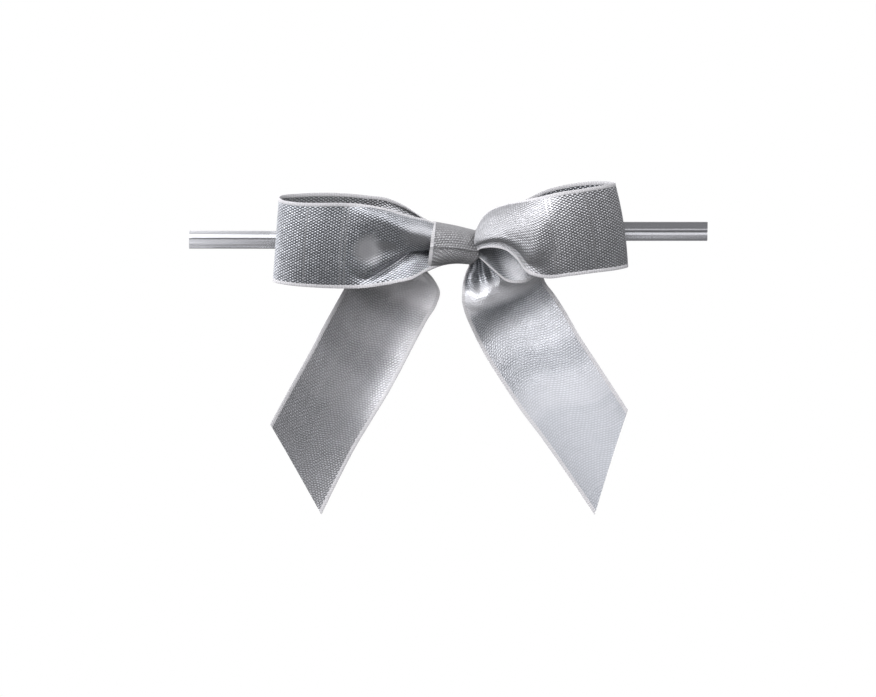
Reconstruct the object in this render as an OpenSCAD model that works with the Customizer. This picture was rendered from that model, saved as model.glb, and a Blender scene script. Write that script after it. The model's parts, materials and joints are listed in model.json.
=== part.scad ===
// Pre-made gift bow: one woven metallic ribbon tied round a flat twist tie.
// Millimetres. +Z up, the bow's face looks along -Y, and the twist tie runs along X.
// The origin is the middle of the knot's flat back, where a gift bag's gathered neck lies.

/* [Ribbon] */
// Width of the ribbon, selvedges included
ribbon_w = 22; // [20:0.5:24]
// Thickness of the woven ribbon
ribbon_t = 0.4; // [0.3:0.05:0.5]
// Width of each woven white selvedge
selvedge_w = 0.8; // [0.5:0.1:1.2]

/* [Knot] */
// Height of the wrap that holds the bow together
knot_h = 11.6; // [11:0.1:12]
// Depth of the wrap, from its flat back to its front
knot_d = 11; // [10:0.5:12]
// Rounding of the wrap's four long edges
knot_r = 3.6; // [3:0.1:4]
// Radius at which the wrap's two open ends are trimmed
knot_end_r = 6.9; // [6.5:0.1:7]

/* [Loops] */
// Distance from the knot's centre to the left loop's outer fold
left_reach = 46.3; // [40:0.1:50]
// Distance from the knot's centre to the right loop's outer fold
right_reach = 42.6; // [38:0.1:48]
// Rise of the left loop's axis, in degrees
left_rise = 1.8; // [0:0.1:6]
// Rise of the right loop's axis, in degrees
right_rise = 7; // [2:0.1:10]
// Half of the loop's depth added by the bulge of its sides
loop_bulge = 4.6; // [3.5:0.1:4.8]

/* [Tails] */
// Lean of the left tail away from straight down, in degrees
left_lean = 29.2; // [24:0.1:34]
// Lean of the right tail away from straight down, in degrees
right_lean = 33.6; // [28:0.1:38]
// Distance from the knot's centre to the tip of a tail's long edge
tail_long = 80; // [74:0.5:84]
// Distance from the knot's centre to the end of the left tail's short edge
left_tail_short = 65.6; // [60:0.2:70]
// Distance from the knot's centre to the end of the right tail's short edge
right_tail_short = 61.4; // [56:0.2:66]
// Distance from the knot's centre to the line where a tail curls
tail_curl = 34; // [30:1:40]

/* [Twist tie] */
// Width of the twist tie
tie_w = 4.5; // [4:0.1:5]
// Thickness of each metallised film
film_t = 0.12; // [0.1:0.01:0.15]
// Diameter of the wire between the films
wire_d = 0.5; // [0.4:0.05:0.6]
// Distance from the knot's centre to the left end
left_tie = 67.8; // [60:0.1:72]
// Distance from the knot's centre to the right end
right_tie = 64.3; // [60:0.1:72]
// Height of the left leg's middle line
left_leg_z = -1.0; // [-1.2:0.1:-0.8]
// Height of the right leg's middle line
right_leg_z = 1.1; // [0.8:0.1:1.3]
// Distance from the knot's centre to the bend beside the knot
inner_bend = 9; // [8.8:0.1:10]
// Distance from the knot's centre to the left leg's second bend
left_outer_bend = 23; // [20:1:25]
// Distance from the knot's centre to the right leg's second bend
right_outer_bend = 28; // [26:1:32]

/* [Hidden] */

LAME = "silver";
SELVEDGE = "whitesmoke";
FILM = "gainsboro";
STEEL = "dimgray";
ROUND = 64;
FAR = 100;           // reaches past everything
neck_gap = 0.3;      // between the knot's trimmed ends and what swings about it
neck_r = knot_end_r + neck_gap;
bend_gap = 0.25;     // from a bend line to the end of each stiff stretch beside it
wire_fit = 0.02;     // room round the wire inside its channel
wire_r = wire_d / 2;
tie_back_y = -ribbon_t - 0.12;                   // the tie's back, clear of the wrap's rounded corners
film_joint_y = tie_back_y - film_t;              // where the two films meet
wire_y = film_joint_y - wire_r - wire_fit;       // the wire's middle line
tie_front_y = wire_y - wire_r - wire_fit - film_t;   // the crest of the ridge over the wire
left_tail_y = -1.7;      // back face of the left tail
right_tail_y = -2.4;     // back face of the right tail, which lies in front of the left one
neck_mid_y = 7;          // depth of a loop's middle at its neck
loop_mid_y = 12;         // depth of a loop's middle at its outer fold
neck_half_d = 2.5;       // half of a loop's depth at its neck
loop_start = 4;          // where a loop's path starts, inside the trimmed neck
path_step = 6;           // degrees of the loop's path formula between two points
tail_top = 4;            // where a tail's outline starts, inside the trimmed neck

// ---- Knot ----

// The wrap's outline seen along X, with every side moved in by inset.
module knot_outline(inset) {
    r = knot_r - inset;
    for (y = [-knot_r, knot_r - knot_d], z = [-1, 1])
        translate([y, z * (knot_h / 2 - knot_r)]) circle(r, $fn = ROUND);
    translate([-knot_d + inset, knot_r - knot_h / 2]) square([knot_d - 2 * inset, knot_h - 2 * knot_r]);
    translate([knot_r - knot_d, inset - knot_h / 2]) square([knot_d - 2 * knot_r, knot_h - 2 * inset]);
}

// Draws its 2D children in the YZ plane and runs them along X, from x0 to x1.
module run_along_x(x0, x1) {
    translate([x0, 0, 0]) rotate([90, 0, 90]) linear_extrude(x1 - x0) children();
}

// A round bar about the Y axis through the knot.
module swing_bar(r) {
    rotate([90, 0, 0]) cylinder(h = 2 * FAR, r = r, center = true, $fn = 2 * ROUND);
}

module wrap_band() {
    run_along_x(-FAR / 2, FAR / 2) difference() {
        knot_outline(0);
        knot_outline(ribbon_t);
    }
}

module knot_wrap() {
    color(LAME) intersection() {
        wrap_band();
        swing_bar(knot_end_r - selvedge_w);
    }
}

module knot_wrap_selvedges() {
    color(SELVEDGE) intersection() {
        wrap_band();
        difference() {
            swing_bar(knot_end_r);
            swing_bar(knot_end_r - selvedge_w);
        }
    }
}

module knot_inner_folds() {
    color(LAME) intersection() {
        run_along_x(-FAR / 2, FAR / 2) difference() {
            knot_outline(ribbon_t);
            translate([tie_front_y - wire_fit, -knot_h]) square([knot_d, 2 * knot_h]);
        }
        swing_bar(knot_end_r);
    }
}

// ---- Loops, built pointing along +X ----

function loop_point(u, reach) = [
    loop_start + (reach - loop_start) * sin(u),
    -neck_mid_y - (loop_mid_y - neck_mid_y) * sin(u) - neck_half_d * cos(u) - loop_bulge * sin(2 * u)
];

function loop_beside(u, reach, off) =
    let (ahead = loop_point(u + 1, reach) - loop_point(u - 1, reach), run = ahead / norm(ahead))
    loop_point(u, reach) + off * [-run.y, run.x];

// The ribbon seen from above: out along the front, round the fold and back.
module loop_band(reach) {
    linear_extrude(2 * FAR, center = true) polygon(concat(
        [for (u = [0 : path_step : 180]) loop_beside(u, reach, ribbon_t / 2)],
        [for (u = [180 : -path_step : 0]) loop_beside(u, reach, -ribbon_t / 2)]
    ));
}

// The ribbon's height seen from the front: gathered at the neck, full width further out.
module loop_height(inset) {
    full = ribbon_w / 2 - inset;
    top = [[loop_start - 1, 4.6 - inset], [neck_r, 5.2 - inset], [13, 8.4 - inset], [21, full - 0.3],
        [26, full], [FAR, full]];
    translate([0, FAR / 2, 0]) rotate([90, 0, 0]) linear_extrude(FAR)
        polygon(concat(top, [for (i = [len(top) - 1 : -1 : 0]) [top[i].x, -top[i].y]]));
}

module loop_ribbon(reach) {
    color(LAME) difference() {
        intersection() {
            loop_band(reach);
            loop_height(selvedge_w);
        }
        swing_bar(neck_r);
    }
}

module loop_selvedges(reach) {
    color(SELVEDGE) difference() {
        intersection() {
            loop_band(reach);
            difference() {
                loop_height(0);
                loop_height(selvedge_w);
            }
        }
        swing_bar(neck_r);
    }
}

module on_left() { mirror([1, 0, 0]) children(); }
module risen(angle) { rotate([0, -angle, 0]) children(); }

// ---- Tails, built hanging straight down with the long edge towards the other tail ----

// middle: the tail's middle line, beside the knot's centre. short: the end of its short edge.
// neck: the gathered top's two edges. spread: where each edge reaches the full width.
LEFT_TAIL = [["middle", 6.7], ["short", left_tail_short], ["neck", [-2, 5]], ["spread", [12, 18]]];
RIGHT_TAIL = [["middle", 1.5], ["short", right_tail_short], ["neck", [-2, 4.5]], ["spread", [20, 16]]];

function fact(tail, name) = [for (pair = tail) if (pair[0] == name) pair[1]][0];

function long_edge(tail) = fact(tail, "middle") - ribbon_w / 2;
function short_edge(tail) = fact(tail, "middle") + ribbon_w / 2;

module tail_outline(tail) {
    polygon([
        [fact(tail, "neck")[0], -tail_top], [long_edge(tail), -fact(tail, "spread")[0]],
        [long_edge(tail), -tail_long], [short_edge(tail), -fact(tail, "short")],
        [short_edge(tail), -fact(tail, "spread")[1]], [fact(tail, "neck")[1], -tail_top]
    ]);
}

// Everything between the two selvedges, past the tail's ends.
module between_selvedges(tail) {
    low_x = long_edge(tail) + selvedge_w;
    high_x = short_edge(tail) - selvedge_w;
    low_neck = fact(tail, "neck")[0] + selvedge_w;
    high_neck = fact(tail, "neck")[1] - selvedge_w;
    polygon([
        [low_neck, 0], [low_neck, -tail_top], [low_x, -fact(tail, "spread")[0]], [low_x, -FAR],
        [high_x, -FAR], [high_x, -fact(tail, "spread")[1]], [high_neck, -tail_top], [high_neck, 0]
    ]);
}

// Keeps the stretch of its 2D children above or below the line where the tail curls.
module tail_stretch(upper) {
    intersection() {
        children();
        translate([-FAR, upper ? bend_gap / 2 - tail_curl : -bend_gap / 2 - tail_curl - 2 * FAR])
            square(2 * FAR);
    }
}

module tail_sheet(back_y) {
    difference() {
        translate([0, back_y, 0]) rotate([90, 0, 0]) linear_extrude(ribbon_t) children();
        swing_bar(neck_r);
    }
}

module tail_ribbon(tail, back_y, upper) {
    color(LAME) tail_sheet(back_y) tail_stretch(upper) intersection() {
        tail_outline(tail);
        between_selvedges(tail);
    }
}

module tail_selvedges(tail, back_y, upper) {
    color(SELVEDGE) tail_sheet(back_y) tail_stretch(upper) difference() {
        tail_outline(tail);
        between_selvedges(tail);
    }
}

module left_tail_place() { on_left() rotate([0, -left_lean, 0]) children(); }
module right_tail_place() { rotate([0, -right_lean, 0]) children(); }

// ---- Twist tie ----

module back_film_profile() {
    translate([film_joint_y, -tie_w / 2]) square([film_t, tie_w]);
}

// An arch over the wire, or the channel inside it, standing on the back film.
module arch(r) {
    intersection() {
        union() {
            translate([wire_y, 0]) circle(r, $fn = ROUND);
            translate([wire_y, -r]) square([wire_r + wire_fit, 2 * r]);
        }
        translate([film_joint_y - FAR, -FAR / 2]) square(FAR);
    }
}

module front_film_profile() {
    difference() {
        union() {
            translate([film_joint_y - film_t, -tie_w / 2]) square([film_t, tie_w]);
            arch(wire_r + wire_fit + film_t);
        }
        arch(wire_r + wire_fit);
    }
}

module tie_front_film(x0, x1) { color(FILM) run_along_x(x0, x1) front_film_profile(); }
module tie_back_film(x0, x1) { color(FILM) run_along_x(x0, x1) back_film_profile(); }
module tie_wire(x0, x1) {
    color(STEEL) translate([x0, wire_y, 0]) rotate([0, 90, 0])
        cylinder(h = x1 - x0, r = wire_r, $fn = ROUND);
}

// The tie's middle runs uphill through the knot, from the left leg's height to the right leg's.
middle_slope = atan((right_leg_z - left_leg_z) / (2 * inner_bend));
middle_half = inner_bend / cos(middle_slope) - tie_w / 2 * tan(middle_slope) - bend_gap;
module tie_middle_place() {
    translate([0, 0, (left_leg_z + right_leg_z) / 2]) rotate([0, -middle_slope, 0]) children();
}

module left_leg_place() { translate([0, 0, left_leg_z]) on_left() children(); }
module right_leg_place() { translate([0, 0, right_leg_z]) children(); }
inner_start = inner_bend + bend_gap;

// ---- The nodes ----

knot_wrap();
knot_wrap_selvedges();
knot_inner_folds();

tie_middle_place() tie_front_film(-middle_half, middle_half);  // tie_centre_front_film
tie_middle_place() tie_back_film(-middle_half, middle_half);  // tie_centre_back_film
tie_middle_place() tie_wire(-middle_half, middle_half);  // tie_centre_wire

on_left() risen(left_rise) loop_ribbon(left_reach);  // left_loop_ribbon
on_left() risen(left_rise) loop_selvedges(left_reach);  // left_loop_selvedges
risen(right_rise) loop_ribbon(right_reach);  // right_loop_ribbon
risen(right_rise) loop_selvedges(right_reach);  // right_loop_selvedges

left_tail_place() tail_ribbon(LEFT_TAIL, left_tail_y, true);  // left_tail_upper_ribbon
left_tail_place() tail_selvedges(LEFT_TAIL, left_tail_y, true);  // left_tail_upper_selvedges
left_tail_place() tail_ribbon(LEFT_TAIL, left_tail_y, false);  // left_tail_lower_ribbon
left_tail_place() tail_selvedges(LEFT_TAIL, left_tail_y, false);  // left_tail_lower_selvedges
right_tail_place() tail_ribbon(RIGHT_TAIL, right_tail_y, true);  // right_tail_upper_ribbon
right_tail_place() tail_selvedges(RIGHT_TAIL, right_tail_y, true);  // right_tail_upper_selvedges
right_tail_place() tail_ribbon(RIGHT_TAIL, right_tail_y, false);  // right_tail_lower_ribbon
right_tail_place() tail_selvedges(RIGHT_TAIL, right_tail_y, false);  // right_tail_lower_selvedges

left_leg_place() tie_front_film(inner_start, left_outer_bend - bend_gap);  // left_inner_leg_front_film
left_leg_place() tie_back_film(inner_start, left_outer_bend - bend_gap);  // left_inner_leg_back_film
left_leg_place() tie_wire(inner_start, left_outer_bend - bend_gap);  // left_inner_leg_wire
left_leg_place() tie_front_film(left_outer_bend + bend_gap, left_tie);  // left_outer_leg_front_film
left_leg_place() tie_back_film(left_outer_bend + bend_gap, left_tie);  // left_outer_leg_back_film
left_leg_place() tie_wire(left_outer_bend + bend_gap, left_tie);  // left_outer_leg_wire
right_leg_place() tie_front_film(inner_start, right_outer_bend - bend_gap);  // right_inner_leg_front_film
right_leg_place() tie_back_film(inner_start, right_outer_bend - bend_gap);  // right_inner_leg_back_film
right_leg_place() tie_wire(inner_start, right_outer_bend - bend_gap);  // right_inner_leg_wire
right_leg_place() tie_front_film(right_outer_bend + bend_gap, right_tie);  // right_outer_leg_front_film
right_leg_place() tie_back_film(right_outer_bend + bend_gap, right_tie);  // right_outer_leg_back_film
right_leg_place() tie_wire(right_outer_bend + bend_gap, right_tie);  // right_outer_leg_wire
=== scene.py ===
"""The looks of the pre-made gift bow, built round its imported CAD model.

Row frame: +X to the right, -Y towards the viewer, +Z up, origin in the middle of the knot's flat back.
Shapes are worked out in millimetres and written to Blender in metres.

The bow is one ribbon. Each stretch of it is a surface through a few rows of points. A row runs across the
ribbon from one selvedge to the other, and the rows follow each other along it.
"""
import json
import math

import bpy
import numpy as np
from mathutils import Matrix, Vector

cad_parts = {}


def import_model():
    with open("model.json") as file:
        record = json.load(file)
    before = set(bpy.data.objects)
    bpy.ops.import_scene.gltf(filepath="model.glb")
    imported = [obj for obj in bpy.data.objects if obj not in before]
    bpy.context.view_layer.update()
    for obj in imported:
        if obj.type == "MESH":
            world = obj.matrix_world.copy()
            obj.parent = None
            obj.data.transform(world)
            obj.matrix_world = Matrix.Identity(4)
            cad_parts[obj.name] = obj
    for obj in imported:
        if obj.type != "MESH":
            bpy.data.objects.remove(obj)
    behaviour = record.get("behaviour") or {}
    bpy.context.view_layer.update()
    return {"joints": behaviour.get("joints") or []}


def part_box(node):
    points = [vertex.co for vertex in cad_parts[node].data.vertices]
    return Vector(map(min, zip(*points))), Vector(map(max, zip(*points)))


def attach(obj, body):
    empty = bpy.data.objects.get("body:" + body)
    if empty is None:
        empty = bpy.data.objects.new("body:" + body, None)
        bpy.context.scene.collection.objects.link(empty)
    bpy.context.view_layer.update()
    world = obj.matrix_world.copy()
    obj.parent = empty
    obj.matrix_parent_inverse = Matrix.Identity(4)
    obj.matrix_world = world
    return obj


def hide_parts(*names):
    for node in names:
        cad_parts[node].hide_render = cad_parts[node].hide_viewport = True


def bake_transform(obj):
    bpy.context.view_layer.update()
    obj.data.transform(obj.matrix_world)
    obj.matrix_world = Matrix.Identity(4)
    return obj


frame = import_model()

MM = 0.001
JOINTS = {j["name"]: j for j in frame["joints"]}


def box_mm(node):
    """A CAD node's lowest and highest corners, in millimetres."""
    low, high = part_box(node)
    return np.array(low) / MM, np.array(high) / MM


# ---- Driving sizes, in millimetres ----
RIBBON_W = 22.0
SELVEDGE_W = 0.9
GROUND_T = 0.22
SELVEDGE_T = 0.34
RIB_PITCH = 0.63         # between two weft threads
WARP_PITCH = 0.366       # between two warp threads
SELVEDGE_PITCH = 0.27    # between two warp threads of a selvedge
COLUMNS = 72             # grid steps across the ribbon
GROUND_COLUMNS = 68      # grid points across it between the selvedges
STEP = 0.42              # grid step along the ribbon

# Where light weft threads lie on the front of each loop, along the ribbon
LIGHT_WEFTS = (-20.0, -18.9, -9.9)
# Bands of painted light and shade along each tail: place along it, half width, share and tone
LEFT_LIT_AND_SHADED_BANDS = (
    (11, 6, 0.9, 0.95), (20.5, 2, 0.3, 0.12), (28, 3, 0.25, 0.8), (36, 2, 0.2, 0.15), (46, 3, 0.15, 0.8),
)
RIGHT_LIT_AND_SHADED_BANDS = (
    (14, 2, 0.8, 0.95), (21.5, 1, 0.1, 0.12), (29, 3, 0.25, 0.8), (37, 2, 0.15, 0.15), (46, 3, 0.15, 0.8),
)
# Painted shade over the knot's front, which makes it darker
KNOT_PAINTED_SHADE = ((17, 20, 0.6, 0.12),)
# Ovals on each loop: place along and across the ribbon, half length, half width, how smooth, share and tone.
# On the left: painted light at the dimple's light end and painted shade at its dark end, and smoother relief
# with painted light on the gathers beside the knot.
LEFT_LIT_AND_SHADED_SPOTS = (
    (-25.8, 1, 4, 4, 0.8, 0.8, 1), (-30.5, -0.6, 3.4, 1.5, 0.6, 0.6, 0.4), (-40, -5, 7, 4, 0.5, 0.5, 0.6),
)
# On the right, on the back layer seen in the loop's mouth: painted shade for the dark hollow and painted
# light on the stretch beside it.
RIGHT_LIT_AND_SHADED_SPOTS = ((39, 1, 5, 9, 0, 0.7, 0.05), (30, 7, 6, 6, 0, 0.7, 1))


# ---- Curves and surfaces ----
# Points on the dense curves that are stepped along evenly: along a row, a pleated row and a whole surface
ROW_POINTS, PLEATED_POINTS, SURFACE_POINTS = 400, 240, 1200


def through(points, knots, at):
    """A smooth curve through points at knots, evaluated at the values in at."""
    gaps = np.diff(knots)
    shape = (-1,) + (1,) * (points.ndim - 1)
    slopes = np.diff(points, axis=0) / gaps.reshape(shape)
    tangents = np.empty_like(points)
    tangents[0], tangents[-1] = slopes[0], slopes[-1]
    before, after = gaps[:-1].reshape(shape), gaps[1:].reshape(shape)
    tangents[1:-1] = (slopes[:-1] * after + slopes[1:] * before) / (before + after)
    i = np.clip(np.searchsorted(knots, at, side="right") - 1, 0, len(knots) - 2)
    h = gaps[i].reshape(shape)
    t = ((at - knots[i]) / gaps[i]).reshape(shape)
    return (
        points[i] * (2 * t**3 - 3 * t**2 + 1)
        + tangents[i] * h * (t**3 - 2 * t**2 + t)
        + points[i + 1] * (3 * t**2 - 2 * t**3)
        + tangents[i + 1] * h * (t**3 - t**2)
    )


def run_length(points):
    """Distance along a polyline to each of its points."""
    steps = np.linalg.norm(np.diff(points, axis=0), axis=-1)
    return np.concatenate([[0], np.cumsum(steps)])


def across(row, count):
    """A row resampled to count points, evenly spaced along its own smooth curve."""
    row = np.array(row, float)
    if len(row) == 2:
        return row[0] + np.linspace(0, 1, count)[:, None] * (row[1] - row[0])
    dense = through(row, run_length(row), np.linspace(0, run_length(row)[-1], ROW_POINTS))
    length = run_length(dense)
    even = np.linspace(0, length[-1], count)
    return np.stack([np.interp(even, length, dense[:, k]) for k in range(3)], axis=-1)


def between(rows, step=0.8):
    """More rows, with every point of a row led smoothly to the same point of the next row."""
    rows = np.array(rows, float)
    gaps = np.linalg.norm(np.diff(rows, axis=0), axis=-1).mean(axis=1)
    knots = np.concatenate([[0], np.cumsum(gaps)])
    return list(through(rows, knots, np.linspace(0, knots[-1], int(knots[-1] / step) + 1)))


def surface(rows, step=STEP, columns=COLUMNS):
    """A grid of points [along, across] through the rows, with a step between rows of points of about step."""
    rows = np.array([across(row, columns + 1) for row in rows])
    gaps = np.linalg.norm(np.diff(rows, axis=0), axis=-1).mean(axis=1)
    knots = np.concatenate([[0], np.cumsum(gaps)])
    dense = through(rows, knots, np.linspace(0, knots[-1], SURFACE_POINTS))
    gaps = np.linalg.norm(np.diff(dense, axis=0), axis=-1).mean(axis=1)
    length = np.concatenate([[0], np.cumsum(gaps)])
    count = int(round(length[-1] / step)) + 1
    picked = np.interp(np.linspace(0, length[-1], count), length, np.arange(len(length)))
    low = np.minimum(picked.astype(int), len(dense) - 2)
    part = (picked - low)[:, None, None]
    return dense[low] * (1 - part) + dense[low + 1] * part


def weft_lengths(grid, start=0):
    """How far along the ribbon each grid point lies, counted along its own warp thread from row start."""
    steps = np.linalg.norm(np.diff(grid, axis=0), axis=-1)
    length = np.concatenate([np.zeros((1, grid.shape[1])), np.cumsum(steps, axis=0)])
    return length - length[start]


# ---- Meshes ----
def new_object(name, vertices, faces, marks=None):
    """A smooth-shaded mesh. marks is the ribbon's own coordinates at each vertex, in millimetres."""
    mesh = bpy.data.meshes.new(name)
    mesh.from_pydata((np.asarray(vertices) * MM).tolist(), [], faces)
    mesh.polygons.foreach_set("use_smooth", [True] * len(mesh.polygons))
    if marks is not None:
        marks = np.asarray(marks, np.float32)
        attribute = mesh.attributes.new("ribbon", "FLOAT_VECTOR", "POINT")
        attribute.data.foreach_set("vector", marks.ravel())
        corners = np.empty(len(mesh.loops), np.int32)
        mesh.loops.foreach_get("vertex_index", corners)
        along = mesh.uv_layers.new(name="along")
        along.data.foreach_set("uv", (marks[corners, :2] / RIBBON_W).ravel())
    mesh.validate()
    mesh.set_sharp_from_angle(angle=math.radians(60))
    mesh.update()
    found = bpy.data.objects.new(name, mesh)
    bpy.context.scene.collection.objects.link(found)
    return found


def normals(grid):
    along = np.gradient(grid, axis=0)
    side = np.gradient(grid, axis=1)
    found = np.cross(along, side)
    return found / np.maximum(np.linalg.norm(found, axis=-1, keepdims=True), 1e-9)


def shell(grid, u, v, half):
    """A closed sheet round a grid: its vertices, faces and ribbon marks. half is half its thickness."""
    rows, columns = grid.shape[:2]
    up = normals(grid) * np.broadcast_to(half, (rows, columns))[..., None]
    vertices = np.concatenate([(grid + up).reshape(-1, 3), (grid - up).reshape(-1, 3)])
    u, v = (np.broadcast_to(a, (rows, columns)).ravel() for a in (u, v))
    marks = np.concatenate(
        [np.stack([u, v, np.full(u.shape, side)], axis=-1) for side in (0.0, 1.0)]
    )
    index = np.arange(rows * columns).reshape(rows, columns)
    back = index + rows * columns
    quads = [
        np.stack([index[:-1, :-1], index[1:, :-1], index[1:, 1:], index[:-1, 1:]], -1),
        np.stack([back[:-1, :-1], back[:-1, 1:], back[1:, 1:], back[1:, :-1]], -1),
    ]
    rim = np.concatenate([index[0], index[1:, -1], index[-1, -2::-1], index[-2:0:-1, 0]])
    other = rim + rows * columns
    quads.append(np.stack([rim, np.roll(rim, -1), np.roll(other, -1), other], -1)[None])
    faces = np.concatenate([q.reshape(-1, 4) for q in quads]).tolist()
    return vertices, faces, marks


def joined(shells):
    """Several shells as one set of vertices, faces and marks."""
    vertices, faces, marks, count = [], [], [], 0
    for shell_vertices, shell_faces, shell_marks in shells:
        vertices.append(shell_vertices)
        marks.append(shell_marks)
        faces += [[i + count for i in face] for face in shell_faces]
        count += len(shell_vertices)
    return np.concatenate(vertices), faces, np.concatenate(marks)


def band(grid, u, low, high, count):
    """The part of a grid between two places across it, in millimetres from its first selvedge."""
    place = np.linspace(low, high, count) / RIBBON_W * (grid.shape[1] - 1)
    left = np.minimum(place.astype(int), grid.shape[1] - 2)
    part = place - left
    points = grid[:, left] * (1 - part)[:, None] + grid[:, left + 1] * part[:, None]
    return points, u[:, left] * (1 - part) + u[:, left + 1] * part


def ribbon(name, grid, u):
    """The ribbon's two pieces along a grid: its metallic ground and its pair of selvedges."""
    inner = RIBBON_W - SELVEDGE_W
    ground, ground_u = band(grid, u, SELVEDGE_W, inner, GROUND_COLUMNS)
    v = np.linspace(SELVEDGE_W, inner, GROUND_COLUMNS) - RIBBON_W / 2
    made = new_object(name + "_ground", *shell(ground, ground_u, v, GROUND_T / 2))
    edges = []
    profile = np.array([0.55, 0.9, 1, 1, 0.9, 0.65])
    for low, high in ((0, SELVEDGE_W), (inner, RIBBON_W)):
        points, edge_u = band(grid, u, low, high, len(profile))
        v = np.linspace(low, high, len(profile)) - RIBBON_W / 2
        wide = profile if low == 0 else profile[::-1]
        edges.append(shell(points, edge_u, v, SELVEDGE_T / 2 * wide))
    trim = new_object(name + "_edges", *joined(edges))
    return made, trim


# ---- Materials ----
class Nodes:
    """A few lines of help for writing the node tree of a material or world."""

    def __init__(self, owner):
        owner.use_nodes = True
        self.owner = owner
        self.tree = owner.node_tree
        self.shader = self.tree.nodes.get("Principled BSDF")

    def add(self, kind, **inputs):
        """A new node, with its inputs set or linked by name, or by number as i0, i1 and so on."""
        node = self.tree.nodes.new(kind)
        for key, value in inputs.items():
            self.put(node, key, value)
        return node

    def put(self, node, key, value):
        socket = node.inputs[int(key[1:]) if key[0] == "i" and key[1:].isdigit() else key]
        if isinstance(value, bpy.types.NodeSocket):
            self.tree.links.new(value, socket)
        else:
            socket.default_value = value

    def math(self, operation, a, b=0.0, c=0.0):
        node = self.add("ShaderNodeMath", i0=a, i1=b, i2=c)
        node.operation = operation
        return node.outputs[0]

    def mix(self, factor, a, b):
        node = self.tree.nodes.new("ShaderNodeMix")
        node.data_type = "RGBA"
        self.put(node, "i0", factor)
        self.put(node, "i6", a)
        self.put(node, "i7", b)
        return node.outputs[2]

    def steps(self, value, low, high, out_low=0.0, out_high=1.0):
        """The value mapped from low..high to out_low..out_high, and held at those ends."""
        node = self.add("ShaderNodeMapRange", i0=value, i1=low, i2=high, i3=out_low, i4=out_high)
        return node.outputs[0]

    def vector(self, x, y, z=0.0):
        return self.add("ShaderNodeCombineXYZ", i0=x, i1=y, i2=z).outputs[0]

    def distance(self, x, y):
        """The length of (x, y)."""
        node = self.add("ShaderNodeVectorMath", i0=self.vector(x, y))
        node.operation = "LENGTH"
        return node.outputs["Value"]

    def product(self, first, *others):
        for other in others:
            first = self.math("MULTIPLY", first, other)
        return first

    def away(self, value, place):
        """How far the value is from a place."""
        return self.math("ABSOLUTE", self.math("ADD", value, -place))

    def wave(self, value):
        """A sine that crosses zero at every whole number."""
        return self.math("SINE", self.product(value, math.pi))

    def ribbon_marks(self):
        """The ribbon's own coordinates: along it, across it, and 0 on one side of it or 1 on the other."""
        mark = self.add("ShaderNodeAttribute")
        mark.attribute_name = "ribbon"
        return self.add("ShaderNodeSeparateXYZ", i0=mark.outputs["Vector"]).outputs

    def bump(self, height, distance, strength):
        made = self.add("ShaderNodeBump", Height=height, Distance=distance, Strength=strength)
        self.put(self.shader, "Normal", made.outputs[0])


def grey(value, warm=0.0):
    """A grey with a little warmth, or coolness where warm is negative."""
    return (value * (1 + warm), value, value * (1 - warm), 1.0)


WARP = grey(0.19, -0.03)     # the thin dark warp between the floats
WEFT = grey(0.65, -0.03)     # the metallic floats
GLINT = grey(0.9, -0.01)     # a painted glint on the few floats that lie flattest
WEAVE_BUMP, SELVEDGE_BUMP, FILM_BUMP = 0.1 * MM, 0.04 * MM, 0.08 * MM


def light_threads(n, u, v):
    """How light the weft thread at u, v is: a little now and then, and fully at LIGHT_WEFTS."""
    slub = n.add("ShaderNodeTexNoise", Vector=n.vector(n.product(u, 2.6), n.product(v, 0.02)), Scale=1.0)
    light = n.product(n.steps(slub.outputs["Fac"], 0.6, 0.72), 0.35)
    for weft in LIGHT_WEFTS:
        light = n.math("MAXIMUM", light, n.steps(n.away(u, weft), 0.08, 0.3, 0.7, 0.0))
    return light


def spotted(n, u, v, relief, spots):
    """The relief made smoother inside the spots, and each spot's share of the colour with its tone, which
    paints light where the tone is high and shade where it is low.
    """
    painted_light_and_shade = []
    for along, aside, length, width, smooth, share, target in spots:
        reach = n.distance(n.math("DIVIDE", n.math("ADD", u, -along), length),
                           n.math("DIVIDE", n.math("ADD", v, -aside), width))
        relief = n.product(relief, n.steps(reach, 0.5, 1.1, 1 - smooth, 1.0))
        painted_light_and_shade.append((n.steps(reach, 0.5, 1.1, share, 0.0), target))
    return relief, painted_light_and_shade


def brushed(n):
    """Spreads the reflections along the ribbon, as its round weft threads do, which lie across it."""
    tangent = n.add("ShaderNodeTangent")
    tangent.direction_type = "UV_MAP"
    tangent.uv_map = "along"
    n.put(n.shader, "Tangent", tangent.outputs[0])
    n.put(n.shader, "Anisotropic", 0.88)


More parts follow.
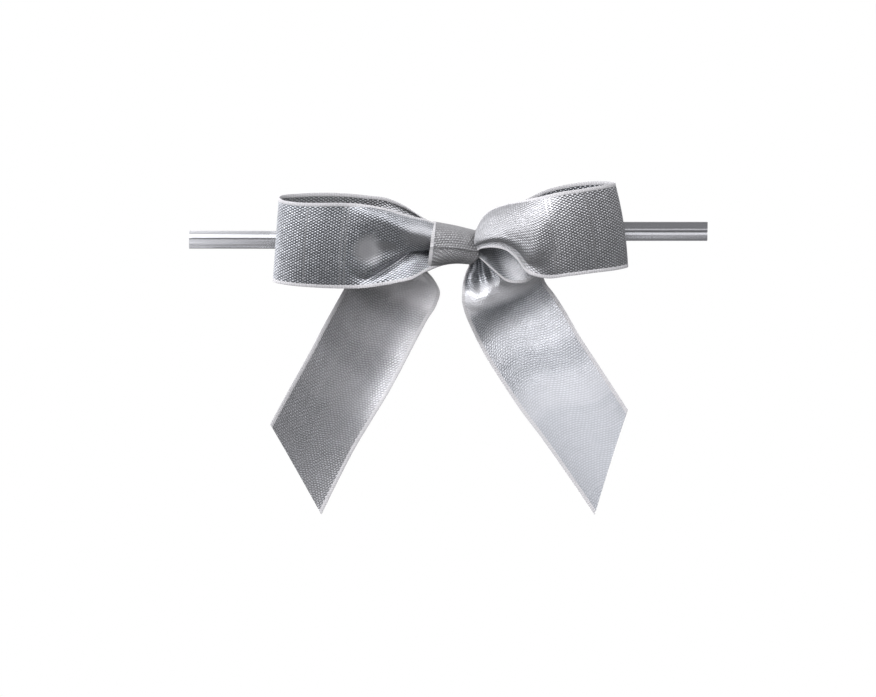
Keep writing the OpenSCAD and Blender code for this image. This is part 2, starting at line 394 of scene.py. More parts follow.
def metallic_weave(name, relief_near, relief_far, painted_bands=(), ribbed=1.0, spots=()):
    """Lamé taffeta: a plain weave of flat metallic weft over thin dark warp.

    The floats bulge by relief_near up to 20 mm along the ribbon and by relief_far from 50 mm on. ribbed is
    how much the ribs across the ribbon stand out. The bands and the spots, laid out like the tables above,
    paint light and shade into the colour: the bands across the ribbon at places along it, the spots in ovals,
    which can also make the relief smoother.
    """
    n = Nodes(bpy.data.materials.new(name))
    u, v, side = n.ribbon_marks()
    row = n.math("DIVIDE", u, RIB_PITCH)
    column = n.math("DIVIDE", v, WARP_PITCH)
    cell = n.vector(n.math("FLOOR", row), n.math("FLOOR", column))
    chance = n.add("ShaderNodeTexWhiteNoise", Vector=cell)
    luck = n.add("ShaderNodeSeparateXYZ", i0=chance.outputs["Color"]).outputs
    over = n.product(n.wave(row), n.wave(column))
    rib = n.math("ABSOLUTE", n.wave(row))
    light_weft = light_threads(n, u, v)

    relief, painted_light_and_shade = spotted(n, u, v, n.steps(u, 20, 50, relief_near, relief_far), spots)
    fade = n.math("ADD", n.product(relief, 0.75), 0.2)

    cloud = n.add("ShaderNodeTexNoise", Vector=n.vector(n.product(u, 0.25), n.product(v, 0.35)), Scale=1.0)
    ribs = n.product(n.math("SUBTRACT", rib, 0.55), ribbed)
    cover = n.math("ADD", n.product(over, 1.1 - 0.6 * ribbed), ribs)
    cover = n.math("ADD", cover, n.steps(cloud.outputs["Fac"], 0.3, 0.7, -0.1, 0.1))
    tone = n.mix(n.steps(n.product(cover, fade), -0.45, 0.35), WARP, WEFT)
    # A random few floats get a painted glint
    tone = n.mix(n.product(n.steps(luck[2], 0.8, 1.0, 0.0, 0.3), fade), tone, GLINT)
    tone = n.mix(light_weft, tone, grey(0.7))
    # Bands of painted light and shade across the ribbon, at places along it
    for place, reach, share, target in painted_bands:
        tone = n.mix(n.steps(n.away(u, place), reach, reach + 3, share, 0.0), tone, grey(target))
    # Ovals of painted light and shade
    for share, target in painted_light_and_shade:
        tone = n.mix(share, tone, grey(target))
    wrong_side = n.mix(0.35, tone, grey(0.5, 0.03))
    n.put(n.shader, "Base Color", n.mix(side, tone, wrong_side))
    n.put(n.shader, "Metallic", 0.95)
    n.put(n.shader, "Roughness", n.steps(luck[2], 0, 1, 0.5, 0.44))
    brushed(n)

    bulge = n.product(over, relief, n.math("SUBTRACT", 1.0, light_weft))
    tilt = n.math("ADD", *(
        n.product(n.math("SUBTRACT", n.math("FRACT", place), 0.5), n.math("SUBTRACT", turn, 0.5))
        for place, turn in ((row, luck[0]), (column, luck[1]))
    ))
    height = n.math("ADD", n.product(bulge, 0.28), n.product(rib, fade, 0.4 * ribbed))
    n.bump(n.math("ADD", height, n.product(tilt, relief, 0.25)), WEAVE_BUMP, 1.0)
    return n.owner


def selvedge_weave():
    """The matt off-white woven edge."""
    n = Nodes(bpy.data.materials.new("selvedge_weave"))
    u, v, _ = n.ribbon_marks()
    rib = n.wave(n.product(u, 2 / RIB_PITCH))
    thread = n.wave(n.product(v, 2 / SELVEDGE_PITCH))
    weave = n.math("ADD", n.product(rib, 0.6), n.product(thread, 0.4))
    n.put(n.shader, "Base Color", n.mix(n.steps(weave, -0.9, 0.6), grey(0.5, 0.01), grey(0.61, 0.01)))
    n.put(n.shader, "Roughness", 0.6)
    n.put(n.shader, "Sheen Weight", 0.1)
    n.bump(weave, SELVEDGE_BUMP, 0.6)
    return n.owner


def tie_film():
    """Bright metallised film with faint streaks along the tie."""
    n = Nodes(bpy.data.materials.new("tie_film"))
    where = n.add("ShaderNodeTexCoord").outputs["Object"]
    stretched = n.add("ShaderNodeVectorMath", i0=where, i1=(25.0, 300.0, 900.0))
    stretched.operation = "MULTIPLY"
    streaks = n.add("ShaderNodeTexNoise", Vector=stretched.outputs[0], Scale=1.0, Detail=2.0).outputs["Fac"]
    n.put(n.shader, "Base Color", n.mix(streaks, grey(0.8, -0.01), grey(0.9, -0.01)))
    n.put(n.shader, "Metallic", 1.0)
    n.put(n.shader, "Roughness", n.steps(streaks, 0.3, 0.7, 0.16, 0.26))
    n.bump(streaks, FILM_BUMP, 0.15)
    return n.owner


def wire_steel():
    """Dull annealed steel, seen only at the tie's ends."""
    n = Nodes(bpy.data.materials.new("wire_steel"))
    where = n.add("ShaderNodeTexCoord").outputs["Object"]
    grain = n.add("ShaderNodeTexNoise", Vector=where, Scale=2500.0).outputs["Fac"]
    n.put(n.shader, "Base Color", n.mix(grain, grey(0.22), grey(0.36)))
    n.put(n.shader, "Metallic", 1.0)
    n.put(n.shader, "Roughness", 0.42)
    return n.owner


FOLDS_WEAVE = metallic_weave("metallic_weave", 1.25, 1.25, ribbed=0.5)
LOOP_WEAVES = {
    "left_loop": metallic_weave("left_loop_weave", 1.25, 1.25, ribbed=0.5, spots=LEFT_LIT_AND_SHADED_SPOTS),
    "right_loop": metallic_weave("right_loop_weave", 1.25, 1.25, ribbed=0.5, spots=RIGHT_LIT_AND_SHADED_SPOTS),
}
KNOT_WEAVE = metallic_weave("stretched_weave", 1.6, 1.6, KNOT_PAINTED_SHADE)
TAIL_WEAVES = {
    "left_tail": metallic_weave("left_tail_weave", 1.2, 0.8, LEFT_LIT_AND_SHADED_BANDS),
    "right_tail": metallic_weave("right_tail_weave", 0.7, 0.0, RIGHT_LIT_AND_SHADED_BANDS, 1.15),
}
EDGE = selvedge_weave()
FILM = tie_film()
WIRE = wire_steel()


def finished(piece, material, slot_name, *nodes):
    """Gives a piece its material and hides the CAD nodes it stands for. slot_name is not used."""
    piece.data.materials.append(material)
    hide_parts(*nodes)


def woven(pair, weave, *nodes):
    """Finishes a ribbon and its selvedges, which stand for NODE_ribbon and NODE_selvedges."""
    ground, trim = pair
    finished(ground, weave, "metallic_weave", *[n + "_ribbon" for n in nodes])
    finished(trim, EDGE, "selvedge", *[n + "_selvedges" for n in nodes])
    return pair


def metres(x, y, z):
    return (x * MM, y * MM, z * MM)


def pleated(row, pleats, share=1.0):
    """A row with pleats in depth, which take up share of what its length lacks of the ribbon's width."""
    row = across(row, PLEATED_POINTS)
    length = run_length(row)
    wanted = length[-1] + share * max(RIBBON_W - length[-1], 0)
    wave = np.zeros_like(row)
    wave[:, 1] = np.sin(length / length[-1] * 2 * math.pi * pleats)
    low, high = 0.0, 6.0
    for _ in range(30):
        middle = (low + high) / 2
        low, high = (low, middle) if run_length(row + middle * wave)[-1] > wanted else (middle, high)
    return row + low * wave


# ---- Loops ----
def plain(top, low, belly=0.0, out=0.0, count=10):
    """A row across the flat ribbon, its middle nearer the viewer by belly and further right by out."""
    share = np.linspace(0, 1, count)[:, None]
    row = np.array(top, float) * (1 - share) + np.array(low, float) * share
    arch = 4 * share[:, 0] * (1 - share[:, 0])
    row[:, 0] += out * arch
    row[:, 1] -= belly * arch
    return row.tolist()


# Each front row, from its top selvedge down: the upper bulge, its ridge, the ridge's underside, the dimple,
# the shoulder below it, the lip over the groove, the groove, the lit flap and the lower selvedge.
LEFT_FRONT = [
    [(-3.2, -6.4, 3.2), (-3.4, -8.8, 2.4), (-3.6, -9.8, 0.6), (-3.8, -9.3, -0.6), (-3.9, -8.9, -1.1),
     (-4, -8.5, -1.5), (-4, -8, -2), (-4, -6, -2.6), (-3.8, -8, -4.4), (-3.4, -8.8, -6.2)],
    [(-7, -8.2, 5.2), (-7.2, -10.9, 3.7), (-7.4, -11.9, 1.2), (-7.6, -11.4, -0.2), (-7.7, -11, -0.9),
     (-7.8, -10.6, -1.4), (-7.8, -10.1, -2), (-7.8, -7.6, -2.6), (-7.5, -10.2, -4.6), (-7.1, -11.6, -7.2)],
    [(-10.4, -10.2, 6.4), (-10.3, -12.9, 4.6), (-10.3, -13.7, 2.5), (-10.7, -13.4, 1), (-11.2, -13.1, 0),
     (-11.4, -12.9, -0.9), (-11.5, -12.5, -1.9), (-11.4, -10.4, -2.4), (-11, -12.3, -4.5),
     (-10.9, -14.4, -8.8)],
    [(-13.6, -11.8, 7.5), (-13.6, -14.1, 6.2), (-13.4, -14.9, 4.2), (-13.9, -14.6, 2.2), (-14.6, -14.3, 0.4),
     (-14.8, -14.1, -1.4), (-14.4, -13.7, -3.3), (-14, -12.2, -3.8), (-14, -13.7, -6), (-14.6, -15.4, -9.5)],
    [(-17.6, -13.4, 9), (-17, -15.1, 7.8), (-16.6, -15.6, 6), (-17.2, -15.4, 3.8), (-18.2, -15.1, 0.8),
     (-18.4, -14.9, -1.8), (-18, -14.5, -5.4), (-17.7, -13.4, -6), (-17.6, -15.1, -8), (-17.9, -15.6, -10.1)],
    [(-22.8, -14.9, 10.2), (-21.8, -16, 8.8), (-20.8, -16.3, 7), (-20.8, -16.2, 4.8), (-21.6, -16, 2),
     (-22, -15.8, -2.4), (-22.2, -15.6, -7.6), (-22.3, -15.1, -8.6), (-22.5, -15.7, -9.7),
     (-22.7, -16, -10.7)],
    plain((-27.6, -16.1, 10.8), (-28.2, -16.1, -10.8), 0.4),
]
LEFT_FOLD = [
    plain((-34.6, -16.7, 10.9), (-35.4, -16.8, -10.4), 0.6),
    plain((-40.2, -15.9, 11), (-41.6, -16, -10), 0.4),
    plain((-43.2, -14, 11.3), (-44.8, -14, -9.8), 0.2),
    plain((-44, -11.8, 11.6), (-45.8, -11.8, -9.7)),
    plain((-43.2, -9.6, 11.8), (-45, -9.4, -9.8)),
    plain((-40.2, -7.6, 11.8), (-41.4, -7.4, -10)),
    plain((-34.8, -5.8, 11.8), (-35.4, -5.6, -10.2)),
]
LEFT_BACK = [
    plain((-28.4, -4.5, 11.5), (-28.6, -4.4, -10.3), -0.2),
    plain((-22.6, -4, 10.9), (-22.6, -4, -10), -0.3),
    [(-16.8, -3.8, 10), (-16.8, -3.6, 8.4), (-16.8, -4, 6.4), (-16.8, -4.8, 4.2), (-16.8, -4.4, 2),
     (-16.8, -3.6, -0.4), (-16.8, -3.8, -2.8), (-16.8, -4.8, -5), (-16.8, -4.6, -7.2), (-16.8, -3.8, -9.4)],
    [(-12.4, -4.2, 8), (-12.4, -3.4, 6.8), (-12.4, -3.8, 5), (-12.4, -5.4, 3.2), (-12.4, -4.6, 1.4),
     (-12.4, -3.2, -0.6), (-12.4, -3.6, -2.6), (-12.4, -5.4, -4.2), (-12.4, -4.8, -6), (-12.4, -3.8, -8)],
    [(-7.6, -5.2, 5), (-7.6, -3.6, 4.2), (-7.6, -3.8, 3), (-7.6, -5.8, 1.8), (-7.6, -4.8, 0.4),
     (-7.6, -3.2, -1), (-7.6, -3.8, -2.4), (-7.6, -5.8, -3.6), (-7.6, -4.8, -4.8), (-7.6, -4, -6.2)],
    [(-3.4, -5.4, 3.2), (-3.4, -3.8, 2.6), (-3.4, -4, 1.8), (-3.4, -5.6, 0.8), (-3.4, -4.8, -0.2),
     (-3.4, -3.6, -1.2), (-3.4, -4, -2.2), (-3.4, -5.6, -3.2), (-3.4, -4.8, -4.2), (-3.4, -4.2, -5.2)],
]
# The front bulges over the knot's end, then arches over the mouth with its lower edge rolled back.
RIGHT_FRONT = [
    [(3, -6, 1), (3, -7.2, 1.2), (3.1, -8.2, 1.2), (3.2, -8.9, 0.9), (3.2, -9.3, 0.5),
     (3.2, -9.4, 0), (3.2, -9.2, -0.5), (3.2, -8.8, -1), (3.2, -8.2, -1.4), (3.2, -7.4, -1.8)],
    [(5.9, -6.2, 1.6), (6.1, -7.4, 1.8), (6.3, -8.4, 1.8), (6.4, -9, 1.5), (6.5, -9.4, 1.1),
     (6.5, -9.6, 0.6), (6.5, -9.6, 0), (6.5, -9.4, -0.6), (6.4, -8.9, -1.3), (6.3, -8.2, -1.8)],
    [(5.3, -8, 2.4), (5.2, -9.4, 2.5), (5.1, -10.4, 2.3), (5, -11, 1.9), (4.9, -11.5, 1.5),
     (4.8, -11.8, 1), (4.8, -11.9, 0.3), (4.9, -11.7, -0.3), (5.2, -10.9, -1), (5.7, -10.4, -2.2)],
    [(6.7, -7.8, 5.4), (6.7, -9.4, 5.1), (6.7, -10.8, 4.4), (6.6, -11.8, 3.5), (6.5, -12.5, 2.7),
     (6.4, -12.9, 1.8), (6.3, -13.1, 1), (6.3, -12.9, 0.4), (6.3, -11.8, 0), (6.4, -12, -1.5)],
    [(8.8, -7.6, 7.5), (9, -9.8, 7), (9.1, -11.6, 6.1), (9.2, -12.9, 4.9), (9.2, -13.8, 3.7),
     (9.2, -14.4, 2.5), (9.1, -14.6, 1.6), (9, -14.3, 1.1), (8.9, -13, 0.8), (8.8, -13.4, -0.9)],
    [(12.2, -8.6, 9.1), (12.4, -10.8, 8.5), (12.6, -12.7, 7.3), (12.7, -14.1, 5.8), (12.6, -15, 4.2),
     (12.5, -15.4, 2.7), (12.4, -15.5, 1.6), (12.2, -15.2, 1), (12.1, -13.8, 0.6), (12.1, -14.3, -1.3)],
    [(16.8, -10.8, 10.5), (17, -12.6, 9.3), (17, -14.1, 7.6), (17, -15.2, 5.6), (16.8, -15.9, 3.5),
     (16.6, -16.1, 1.5), (16.3, -16.1, 0), (16, -15.7, -0.9), (15.7, -14.4, -1.6), (15.3, -15, -3.6)],
    [(21.4, -13.4, 12), (21.4, -14.6, 10), (21.4, -15.5, 7.8), (21.2, -16.1, 5.4), (20.8, -16.4, 3),
     (20.2, -16.5, 0.7), (19.6, -16.5, -1.4), (19, -16.1, -3.4), (18.5, -15, -5), (18, -15.6, -7)],
    plain((25.8, -15.6, 13.4), (22.6, -15.6, -8.3), 0.9),
]
RIGHT_FOLD = [
    plain((30.2, -16.4, 14.2), (28, -16.6, -7.6), 0.5),
    plain((34.2, -16, 14.8), (34.2, -16.5, -6.8), 0.4),
    plain((37.8, -14.4, 15.2), (40.6, -14.7, -6.3), 0.2, 0.4),
    plain((39.7, -12, 15.3), (43.3, -12, -6.1), 0, 0.6),
    plain((38.7, -9.6, 15.2), (42, -9.4, -6.3), 0, 0.4),
    plain((34.6, -7, 14.9), (37, -6.8, -6.8)),
]
RIGHT_BACK = [
    plain((28.5, -5.4, 13.9), (30, -5.2, -7.5), -0.2),
    plain((22.6, -5, 12.3), (22.6, -5.8, -9), -0.8),
    plain((16.4, -5, 9.2), (17, -10.8, -10.4), -2),
    plain((12, -5.2, 6.8), (12.8, -12, -9.7), -1.8),
    plain((8.8, -5.6, 4), (9.2, -11.6, -6.7), -1.5),
    plain((5.6, -5.4, 1.8), (5.8, -9.8, -4), -0.8),
    plain((3, -5.4, 1), (3, -7.6, -3), -0.4),
]


def loop(name, side, rows):
    """A loop's ribbon and selvedges. side is -1 on the left and 1 on the right."""
    grid = surface(between(rows))
    fold = int(np.argmax(side * grid[:, grid.shape[1] // 2, 0]))
    pair = woven(ribbon(name, grid, weft_lengths(grid, fold)), LOOP_WEAVES[name], name)
    for piece in pair:
        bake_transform(piece)


loop("left_loop", -1, LEFT_FRONT + LEFT_FOLD + LEFT_BACK)
loop("right_loop", 1, RIGHT_FRONT + RIGHT_FOLD + RIGHT_BACK)


# ---- Tails ----
LEFT_LEAN, RIGHT_LEAN = math.radians(29.2), math.radians(33.6)
LEFT_TIPS, RIGHT_TIPS = (80.8, 66), (78.7, 60.8)    # how far down the inner and outer selvedges are cut
LEFT_CURL = 1.1           # how far the left tail's inner edge curls towards the viewer
TAIL_HOLLOW = 0.8         # depth of a tail's hollow
TAIL_PLEATS = 5
PLEAT_SHARES = (1, 0.8, 0.5, 0.3, 0.1)    # how much of each top row's spare width its pleats take up
TAIL_BLEND = (6, 15)      # from the knot's middle, where the blend over a tail's swing starts and ends
CURL_BLEND = 5            # to each side of the line where a tail curls
SEAM_ABOVE_CURL = 8       # where the two stretches of a tail meet


def tail_place(side, lean, s, e, y):
    """A point s down a tail and e towards its outer edge."""
    x = s * math.sin(lean) + e * math.cos(lean)
    z = e * math.sin(lean) - s * math.cos(lean)
    return (side * x, y, z)


def plain_tail_rows(side, lean, places, curl=0.0):
    """Rows of the flat part of a tail, slightly hollow towards the viewer.

    Each place is how far down the tail it is, then how far out and how deep its two edges are. curl is how
    far the inner edge's quarter curls towards the viewer, most of all between 20 and 42 mm down.
    """
    rows = []
    for s, inner, y_inner, outer, y_outer in places:
        row = []
        for share in np.linspace(0, 1, 9):
            y = y_inner + (y_outer - y_inner) * share + TAIL_HOLLOW * 4 * share * (1 - share)
            y -= curl * np.interp(s, (15, 20, 42, 56), (0, 1, 1, 0)) * max(0, 1 - share / 0.25) ** 2
            row.append(tail_place(side, lean, s, inner + (outer - inner) * share, y))
        rows.append(row)
    return rows


LEFT_TAIL_TOP = [
    [(-4.5, -5, -3.6), (-6, -5.8, -3.2), (-8, -5, -2.4), (-9.5, -4, -1.8)],
    [(-6.8, -5.2, -6.2), (-9, -6, -5), (-12, -4.8, -3.4), (-14.5, -3.2, -1.8)],
    [(-7.2, -5.8, -8.2), (-10, -5.8, -7), (-14, -4, -4.6), (-18.5, -2.8, -2)],
    [(-5.4, -6, -10.4), (-8.5, -5, -9.4), (-14, -3, -6), (-21.5, -3.2, -1.6)],
    [(-4, -5.4, -13.2), (-8, -4, -11.2), (-14, -2.4, -7.6), (-23, -3.2, -3)],
]
LEFT_TAIL_PLACES = [
    (17, -4.2, -4.2, 18.2, -3), (22, -4.1, -3.4, 18.2, -2.8), (28, -4.3, -2.9, 18.2, -2.8),
    (36, -4.6, -3, 18.2, -3), (44, -4.7, -3.6, 18, -3.4), (52, -4.5, -4, 18, -3.4),
    (60, -4.4, -3.4, 17.9, -3), (70, -4.8, -2.6, 17.7, -2.6), (84, -5.6, -2.8, 17.7, -2.6),
]
# From inside the knot: down the wall of a cup, over its lip and on to the flat of the tail.
RIGHT_TAIL_TOP = [
    [(3.6, -7, -3.4), (4.8, -7.6, -3.2), (6, -7.4, -2.8),
     (7, -6.8, -2.4), (8, -6, -2), (9, -5, -1.6)],
    [(3.6, -6.6, -6.6), (5, -6.2, -6.6), (6.6, -5.8, -6.2),
     (8.4, -5.4, -5.4), (10.2, -4.6, -4.4), (12, -3.8, -3)],
    [(2.6, -6.4, -9), (4.4, -5.2, -9.4), (6.6, -4.6, -9.4),
     (9, -4.4, -8.4), (12, -3.8, -6.6), (15.4, -2.8, -3.4)],
    [(2, -6.6, -11.2), (4, -5.6, -11.6), (6.6, -5.4, -11.4),
     (9.4, -5.2, -10.2), (13, -4.2, -7.8), (17.4, -2.8, -4.4)],
    [(1.8, -7.2, -13.6), (4.2, -8.3, -14), (7, -8.9, -13.8),
     (9.8, -8.4, -12.4), (13.2, -6.2, -10), (18.6, -3.2, -5.6)],
    [(1.8, -7, -16), (5, -8.2, -16.6), (8.4, -8.6, -15.6),
     (11.8, -8, -13.6), (15.4, -6.2, -11), (20, -3.8, -7.2)],
    [(2.4, -6.6, -18.6), (6, -7.2, -18.2), (10, -7.4, -16.6),
     (13.8, -6.9, -14.2), (17.6, -5.8, -11.6), (21.6, -4.4, -8.8)],
]
RIGHT_TAIL_PLACES = [
    (23, -9.6, -5, 12.8, -4), (26, -10.1, -4.2, 13, -3.7), (31, -10.5, -4.6, 13, -4.3),
    (38, -10.6, -5.6, 12.6, -5.4), (46, -10.5, -6.8, 12.6, -6.7), (55, -9.9, -8.2, 12.6, -8.2),
    (66, -9.5, -9.9, 12.6, -9.9), (84, -9.2, -12.6, 12.6, -12.6),
]


def cut(grid, down, ends):
    """The grid shortened to end on a straight cut. ends is how far down it is at the two selvedges."""
    length = weft_lengths(grid)
    depth = grid @ down
    rows = grid.shape[0]
    wanted = np.linspace(ends[0], ends[1], grid.shape[1])
    points = np.empty_like(grid)
    for j in range(grid.shape[1]):
        last = np.interp(wanted[j], depth[rows // 2:, j], length[rows // 2:, j])
        at = np.linspace(0, last, rows)
        for k in range(3):
            points[:, j, k] = np.interp(at, length[:, j], grid[:, j, k])
    return points


def tail(name, side, lean, rows, tips):
    """Both stretches of a tail, which meet between the knot and the line where the tail curls."""
    down = np.array([side * math.sin(lean), 0, -math.cos(lean)])
    top = [pleated(row, TAIL_PLEATS, share) for row, share in zip(rows, PLEAT_SHARES)]
    grid = cut(surface(top + rows[len(top):]), down, tips)
    u = weft_lengths(grid)
    curl = np.array(JOINTS[name + "_curl"]["pos_m"]) / MM
    middle = grid[:, grid.shape[1] // 2]
    seam = int(np.argmin(abs((middle - curl) @ down + SEAM_ABOVE_CURL)))
    blends = (("knot", down * TAIL_BLEND[0], down * TAIL_BLEND[1]),
              (name + "_upper", curl - down * CURL_BLEND, curl + down * CURL_BLEND))
    parts = (("_upper", slice(0, seam + 1)), ("_lower", slice(seam, None)))
    for (word, part), (held_by, start, end) in zip(parts, blends):
        body = name + word
        pair = woven(ribbon(body, grid[part], u[part]), TAIL_WEAVES[name], body)
        for piece in pair:
            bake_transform(piece)


tail("left_tail", -1, LEFT_LEAN,
     LEFT_TAIL_TOP + plain_tail_rows(-1, LEFT_LEAN, LEFT_TAIL_PLACES, LEFT_CURL), LEFT_TIPS)
tail("right_tail", 1, RIGHT_LEAN,
     RIGHT_TAIL_TOP + plain_tail_rows(1, RIGHT_LEAN, RIGHT_TAIL_PLACES), RIGHT_TIPS)


# ---- Knot ----
KNOT_XS = np.array([-7.0, -3.0, 0.0, 3.0, 6.0])
# Middle height, half height and depth of the wrap at each of them
KNOT_SECTIONS = np.array([
    [-1.7, 6.2, 11.6], [-1.35, 5.1, 11.3], [-1.45, 4.6, 11.1], [-1.9, 4.3, 10.8], [-2.5, 4.1, 10.4],
])
CREASE = 0.3              # how far the crease across the knot's front stands out
EDGE_COLUMNS = 4          # grid points across the wrap's visible selvedge
SQUARENESS = 2.7          # exponent of the wrap's rounded-square outline


def knot_section(x):
    """Middle height, half height and depth of the wrap at x."""
    return through(KNOT_SECTIONS, KNOT_XS, np.array([x]))[0]


def wrap_ends(height, front):
    """Where the wrap's left edge and its tucked right edge are. front is 0 at its back and 1 at its front."""
    left = -6.4 + 0.14 * (height + 1.5)
    tuck = 0.03 if height > -2 else 0.13
    return left, 5.9 - tuck * (height + 2) ** 2 * front


def knot_wrap(turn=220, columns=44):
    """One turn of ribbon round the knot, as a band whose warp runs round it."""
    rows = []
    for angle in np.linspace(0, 2 * math.pi, turn + 1):
        c, s = math.cos(angle), math.sin(angle)
        power = 2 / SQUARENESS
        deep = (1 + abs(c) ** power * math.copysign(1, c)) / 2
        high = abs(s) ** power * math.copysign(1, s)
        left, right = wrap_ends(-1.6 + 5 * high, deep)
        front = max(0, 2 * deep - 1)
        row = []
        for x in np.linspace(left, right, columns):
            middle, half, depth = knot_section(x)
            crease = CREASE * front * math.exp(-(((high - 0.04 + 0.01 * x) / 0.08) ** 2))
            row.append((x, -depth * deep - crease, middle + half * high))
        rows.append(row)
    return np.array(rows)


def closed_wrap():
    """The wrap as its ground and its one visible selvedge."""
    grid = knot_wrap()
    u = weft_lengths(grid)
    v = grid[..., 0]
    inner, outer = np.s_[:, EDGE_COLUMNS - 1:], np.s_[:, :EDGE_COLUMNS]
    ground = new_object("knot_wrap_ground", *shell(grid[inner], u[inner], v[inner], GROUND_T / 2))
    trim = new_object("knot_wrap_edge", *shell(grid[outer], u[outer], v[outer], SELVEDGE_T / 2))
    finished(ground, KNOT_WEAVE, "metallic_weave", "knot_wrap")
    finished(trim, EDGE, "selvedge", "knot_wrap_selvedges")
    for piece in (ground, trim):
        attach(piece, "knot")


closed_wrap()


def inner_folds():
    """The crumpled ribbon packed inside the wrap, seen at the wrap's open ends."""
    rows = []
    for x, reach in ((-5.4, 0.85), (-2, 0.7), (2, 0.62), (4.8, 0.6)):
        middle, half, depth = knot_section(x)
        row = []
        for i in range(9):
            y = -2.4 - i * (depth - 5.4) / 8
            z = middle + (half - 1) * reach * (1 if i % 2 else -1)
            row.append((x, y, z))
        rows.append(row)
    grid = surface(rows)
    piece = new_object("knot_folds_ground", *shell(grid, weft_lengths(grid), 0.0, GROUND_T / 2))
    finished(piece, FOLDS_WEAVE, "metallic_weave", "knot_inner_folds")
    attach(piece, "knot")


inner_folds()


# ---- Twist tie ----
TIE_HALF = 2.45
FILM_T = 0.12
LEFT_TWIST, RIGHT_TWIST = math.radians(14.5), math.radians(-2)   # a positive twist turns the face upwards
WIRE_R = 0.25
WIRE_GAP = 0.02
FILM_Y = box_mm("tie_centre_back_film")[0][1]
RIDGE = 0.5               # how far the film stands out over the wire
DROP = 0.36               # how far the left leg's film drops below the wire where it meets the loop
# Height of the tie's middle line along it, in steps at the knot's ends
TIE_XS = np.array([-80.0, -9.0, -4.0, 3.5, 6.5, 10.0, 12.5, 80.0])
TIE_HEIGHTS = np.array([-1.0, -1.0, -0.95, -0.9, 0.2, 1.1, 1.1, 1.1])


def tie_middle(x):
    """Height of the tie's middle line, its half width and how far it is twisted, at x."""
    height = through(TIE_HEIGHTS, TIE_XS, np.array([x]))[0]
    squeeze = 1 - 0.4 * math.exp(-((x / 6.5) ** 4))
    twist = np.interp(x, (-47, -28, 30, 52), (LEFT_TWIST, 0, 0, RIGHT_TWIST))
    return height, TIE_HALF * squeeze * np.interp(x, (-45, 0), (0.92, 1)), twist


def sweep(name, xs, section):
    """A closed bar along the tie. section gives the outline's (y, height) points at a half width and x."""
    rings = []
    for x in xs:
        middle, half, twist = tie_middle(x)
        rings.append([
            (x, y + z * math.sin(twist), middle + z * math.cos(twist)) for y, z in section(half, x)
        ])
    rings = np.array(rings)
    count, size = rings.shape[:2]
    index = np.arange(count * size).reshape(count, size)
    after = np.roll(index, -1, axis=1)
    quads = np.stack([index[:-1], after[:-1], after[1:], index[1:]], -1).reshape(-1, 4).tolist()
    faces = quads + [index[0][::-1].tolist(), index[-1].tolist()]
    return new_object(name, rings.reshape(-1, 3), faces)


def back_section(half, _x):
    return [(FILM_Y + FILM_T, -half), (FILM_Y + FILM_T, half), (FILM_Y, half), (FILM_Y, -half)]


def ridge_height(x):
    """How far above the tie's middle line its wire lies."""
    return np.interp(x, (-30, 30), (0.62, 0.1))


# The right leg's film from its lower edge up: share of the half width, and height off the back film
RIGHT_FILM = (
    (-1, 0.1), (-0.95, 0.42), (-0.84, 0.82), (-0.76, 0.9), (-0.66, 0.84), (-0.3, 0.6), (-0.08, 0.34),
    (-0.03, 0.32), (0.05, 0.66), (0.1, 0.72), (0.2, 0.66), (0.34, 0.5), (0.38, 0.56), (0.55, 0.5), (1, 0.42),
)


def left_film(z, half, wire, drop):
    """How far the left leg's film stands off at height z: round over the wire, then down a step of drop."""
    if z > wire:
        out = RIDGE * math.exp(-(((z - wire) / 0.3) ** 2))
    else:
        below = min((wire - z) / 0.4, 1)
        out = RIDGE - drop * below**2 * (3 - 2 * below)
    return FILM_T + 0.1 + out * min(1, (z + half) / 0.3)


def front_section(half, x):
    """The film over the wire. Its profile changes from the left leg's to the right leg's inside the knot."""
    right = np.interp(x, (-10, 10), (0, 1))
    wire = ridge_height(x)
    drop = np.interp(x, (-70, -44), (0, DROP))
    outer = []
    for z in np.linspace(-half, half, 61):
        left_out = left_film(z, half, wire, drop)
        right_out = np.interp(z / half, *zip(*RIGHT_FILM))
        out = left_out + right * (right_out - left_out)
        outer.append((FILM_Y - max(out, FILM_T / 2), z))
    inner = [(min(y + FILM_T, FILM_Y), z) for y, z in outer[::-1]]
    return outer + inner


def wire_section(_half, x):
    turn = np.linspace(0, 2 * math.pi, 16, endpoint=False)
    middle_y, middle_z = FILM_Y - WIRE_R - WIRE_GAP, ridge_height(x)
    return [(middle_y + WIRE_R * math.cos(a), middle_z + WIRE_R * math.sin(a)) for a in turn]


LAYERS = (
    ("front_film", front_section, FILM, "metallised_film"),
    ("back_film", back_section, FILM, "metallised_film"),
    ("wire", wire_section, WIRE, "tie_wire"),
)


def tie_leg(side):
    """One leg's three layers, each as an inner and an outer length. The inner ones meet in the knot."""
    word = "left" if side < 0 else "right"
    bend = abs(JOINTS[word + "_leg_bend"]["pos_m"][0]) / MM
    wrap = abs(JOINTS[word + "_leg_wrap"]["pos_m"][0]) / MM
    low, high = box_mm(word + "_outer_leg_front_film")
    end = max(abs(low[0]), abs(high[0]))
    seam = (bend + wrap) / 2
    for layer, section, material, slot_name in LAYERS:
        inner = sweep(word + "_tie_inner_" + layer, side * np.arange(0, seam + 0.01, seam / 40), section)
        outer = sweep(word + "_tie_outer_" + layer, side * np.linspace(seam, end, 70), section)
        nodes = [word + "_inner_leg_" + layer] + (["tie_centre_" + layer] if side < 0 else [])
        finished(inner, material, slot_name, *nodes)
        finished(outer, material, slot_name, word + "_outer_leg_" + layer)
        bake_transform(inner)
        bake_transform(outer)


tie_leg(-1)
tie_leg(1)


# ---- Camera, lights and floor ----
VIEW_W = 224.0            # width of the view at the bow, in millimetres
DISTANCE = 640.0
ELEVATION = math.radians(12)
AIM = np.array([-4.35, -5.0, -28.5])
SKY_COLOUR = (0.98, 0.975, 1.03, 1.0)
SKY_BASE = 0.19
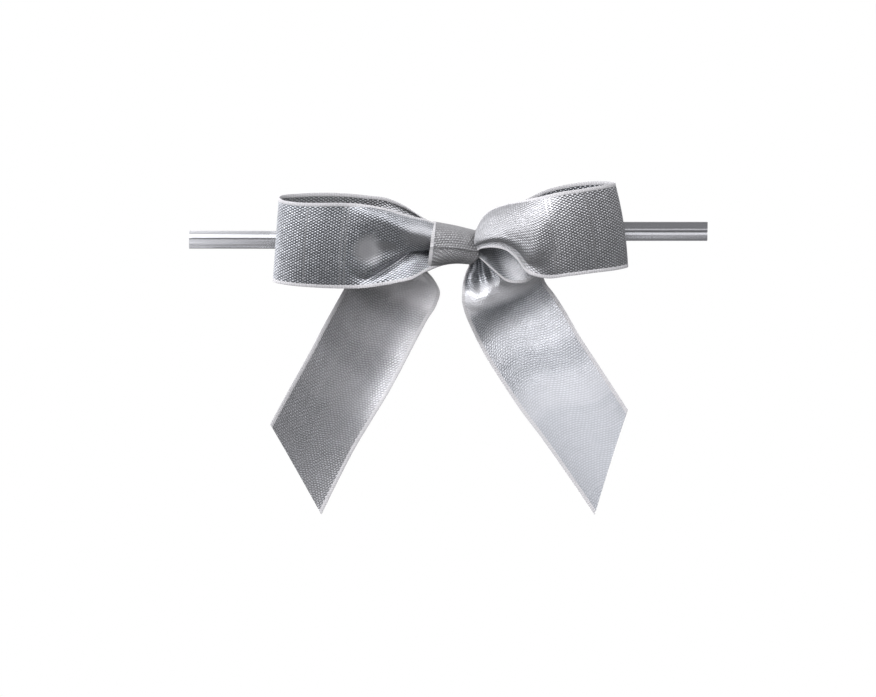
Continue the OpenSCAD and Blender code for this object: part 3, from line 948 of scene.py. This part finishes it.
# Direction, cosines of the angles from it where a patch starts and is full, and its strength
SKY_PATCHES = (
    ((0, 0, 1), 0.25, 0.95, 0.5),
    ((-0.5, -0.68, 0.54), 0.86, 0.97, 5.2),
    ((0.62, -0.55, 0.56), 0.86, 0.97, 1.8),
    ((-1, 0.3, 0.1), 0.66, 0.94, 2.2),
    ((0, 1, 0.3), 0.2, 0.9, 0.6),
)
FLOOR_TONE = 0.12
FLOOR_R, FLOOR_Z = 520.0, -230.0


def camera():
    data = bpy.data.cameras.new("camera")
    data.sensor_width = 36
    data.lens = data.sensor_width * DISTANCE / VIEW_W
    data.clip_start, data.clip_end = 0.01, 20
    back = np.array([0, -math.cos(ELEVATION), math.sin(ELEVATION)])
    found = bpy.data.objects.new("camera", data)
    found.location = Vector((AIM + back * DISTANCE) * MM)
    found.rotation_euler = (math.pi / 2 - ELEVATION, 0, 0)
    bpy.context.scene.collection.objects.link(found)
    bpy.context.scene.camera = found


def soft_light(name, place, size, power):
    """A square soft box aimed at the bow. place is in millimetres and power in watts."""
    data = bpy.data.lights.new(name, "AREA")
    data.shape = "RECTANGLE"
    data.size, data.size_y = size[0] * MM, size[1] * MM
    data.energy = power
    found = bpy.data.objects.new(name, data)
    found.location = Vector(metres(*place))
    aim = Vector(metres(0, -8, -15)) - found.location
    found.rotation_euler = aim.to_track_quat("-Z", "Y").to_euler()
    bpy.context.scene.collection.objects.link(found)


def world():
    """A light tent: white to the camera, and lit by wide soft patches, each given by its direction."""
    n = Nodes(bpy.data.worlds.new("studio"))
    where = n.add("ShaderNodeTexCoord").outputs["Generated"]
    light = SKY_BASE
    for direction, dim, full, strength in SKY_PATCHES:
        facing = n.add("ShaderNodeVectorMath", i0=where, i1=Vector(direction).normalized())
        facing.operation = "DOT_PRODUCT"
        patch = n.steps(facing.outputs["Value"], dim, full, 0.0, strength)
        patch.node.interpolation_type = "SMOOTHSTEP"
        light = n.math("ADD", light, patch)
    tent = n.add("ShaderNodeBackground", Color=SKY_COLOUR, Strength=light)
    white = n.add("ShaderNodeBackground", Color=grey(1.0), Strength=1.0)
    rays = n.add("ShaderNodeLightPath").outputs["Is Camera Ray"]
    both = n.add("ShaderNodeMixShader", i0=rays, i1=tent.outputs[0], i2=white.outputs[0])
    n.put(n.tree.nodes["World Output"], "Surface", both.outputs[0])
    bpy.context.scene.world = n.owner


def floor():
    """A plain pale floor, well below the bow, as a wide disc that blends into the white behind it."""
    turn = np.linspace(0, 2 * math.pi, 64, endpoint=False)
    rim = [(FLOOR_R * math.cos(a), FLOOR_R * math.sin(a), FLOOR_Z) for a in turn]
    found = new_object("floor", rim, [list(range(64))])
    n = Nodes(bpy.data.materials.new("floor"))
    n.put(n.shader, "Base Color", grey(FLOOR_TONE))
    n.put(n.shader, "Roughness", 0.9)
    white = n.add("ShaderNodeEmission", Color=grey(1.0), Strength=1.0)
    rays = n.add("ShaderNodeLightPath").outputs["Is Camera Ray"]
    both = n.add("ShaderNodeMixShader", i0=rays, i1=n.shader.outputs[0], i2=white.outputs[0])
    n.put(n.tree.nodes["Material Output"], "Surface", both.outputs[0])
    found.data.materials.append(n.owner)


camera()
world()
floor()
soft_light("key", (-310, -430, 330), (200, 200), 0.12)
soft_light("top", (0, 50, 600), (500, 400), 0.25)
bpy.context.scene.view_settings.view_transform = "Standard"
